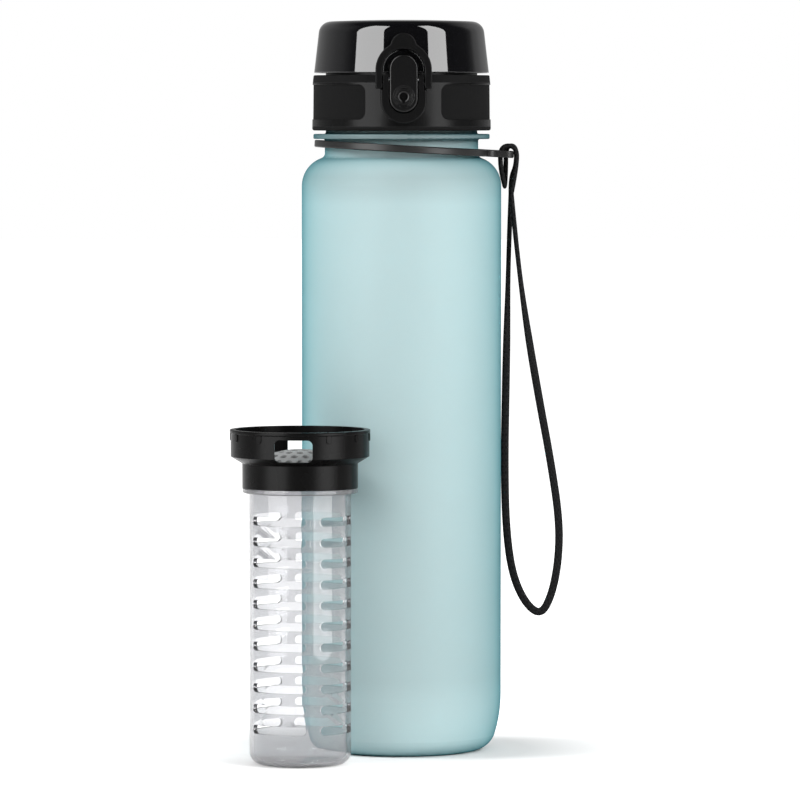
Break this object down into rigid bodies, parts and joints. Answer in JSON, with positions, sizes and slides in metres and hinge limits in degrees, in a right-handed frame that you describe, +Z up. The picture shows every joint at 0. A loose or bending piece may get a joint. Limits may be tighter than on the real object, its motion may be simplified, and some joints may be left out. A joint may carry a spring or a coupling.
{
  "type": "fruit infuser water bottle",
  "caption": "Tall frosted bottle with a black screw cap, flip lid with push latch and lock bail, a wrist cord on a neck ring, and a slotted infuser basket that stands beside it.",
  "frame": {"origin": "middle of the bottle's base, on its axis, in the plane it stands on", "axes": "+Z up along the bottle's axis, -Y towards the latch button in front, +Y towards the lid's hinge, +X towards the strap's tab"},
  "size_m": [0.1297, 0.1199, 0.2857],
  "materials": {
    "frosted_shell": "frosted, translucent turquoise",
    "gloss_black": "polished black",
    "satin_black": "satin black with a fine grain",
    "clear_plastic": "clear",
    "grey_plastic": "light grey, smooth",
    "soft_seal": "translucent silicone",
    "steel": "drawn wire",
    "black_braid": "flat woven braid"
  },
  "bodies": {
    "bottle": {"bottle_shell": "frosted_shell"},
    "gasket": {"mouth_gasket": "soft_seal"},
    "cap": {"cap_insert": "satin_black", "cap_spout": "satin_black", "cap_collar": "satin_black", "hinge_pin": "steel", "hinge_spring": "steel", "latch_pin": "steel", "latch_spring": "steel"},
    "lid": {"flip_lid": "gloss_black", "lid_liner": "satin_black", "spout_plug": "soft_seal"},
    "button": {"latch_button": "satin_black"},
    "bail": {"lock_bail": "satin_black"},
    "strap": {"strap_band": "satin_black"},
    "loop": {"strap_hitch": "black_braid", "strap_cord": "black_braid"},
    "basket": {"infuser_basket": "clear_plastic"},
    "connector": {"infuser_connector": "gloss_black", "infuser_strainer": "grey_plastic"}
  },
  "joints": [
    {"name": "cap_rise", "type": "slide", "parent": "bottle", "child": "gasket", "axis": [0, 0, 1], "range_m": [0, 0.0225]},
    {"name": "cap_turn", "type": "hinge", "parent": "gasket", "child": "cap", "pos_m": [0, 0, 0.25], "axis": [0, 0, 1], "range_deg": [0, 1800]},
    {"name": "lid_flip", "type": "hinge", "parent": "cap", "child": "lid", "pos_m": [0, 0.0372, 0.2648], "axis": [-1, 0, 0], "range_deg": [0, 150], "deforming": ["hinge_spring"]},
    {"name": "button_press", "type": "hinge", "parent": "cap", "child": "button", "pos_m": [0, -0.0363, 0.2625], "axis": [1, 0, 0], "range_deg": [0, 8], "stiffness_Nm_per_rad": 0.2, "springref_deg": -2.86, "deforming": ["latch_spring"]},
    {"name": "bail_swing", "type": "hinge", "parent": "cap", "child": "bail", "pos_m": [0, -0.0376, 0.2607], "axis": [1, 0, 0], "range_deg": [0, 105]},
    {"name": "strap_swivel", "type": "hinge", "parent": "bottle", "child": "strap", "pos_m": [0, 0, 0.23565], "axis": [0, 0, 1], "range_deg": [-90, 180]},
    {"name": "strap_swing", "type": "hinge", "parent": "strap", "child": "loop", "pos_m": [0.04295, 0, 0.23325], "axis": [0, -1, 0], "range_deg": [0, 80]},
    {"name": "infuser_lift", "type": "slide", "parent": "bottle", "child": "basket", "axis": [0, 0, 1], "range_m": [0, 0.15]},
    {"name": "connector_pull", "type": "slide", "parent": "basket", "child": "connector", "axis": [0, 0, 1], "range_m": [0, 0.03]}
  ],
  "couplings": [
    {"joint": "cap_rise", "follows": "cap_turn", "m_per_rad": 0.0007162}
  ]
}
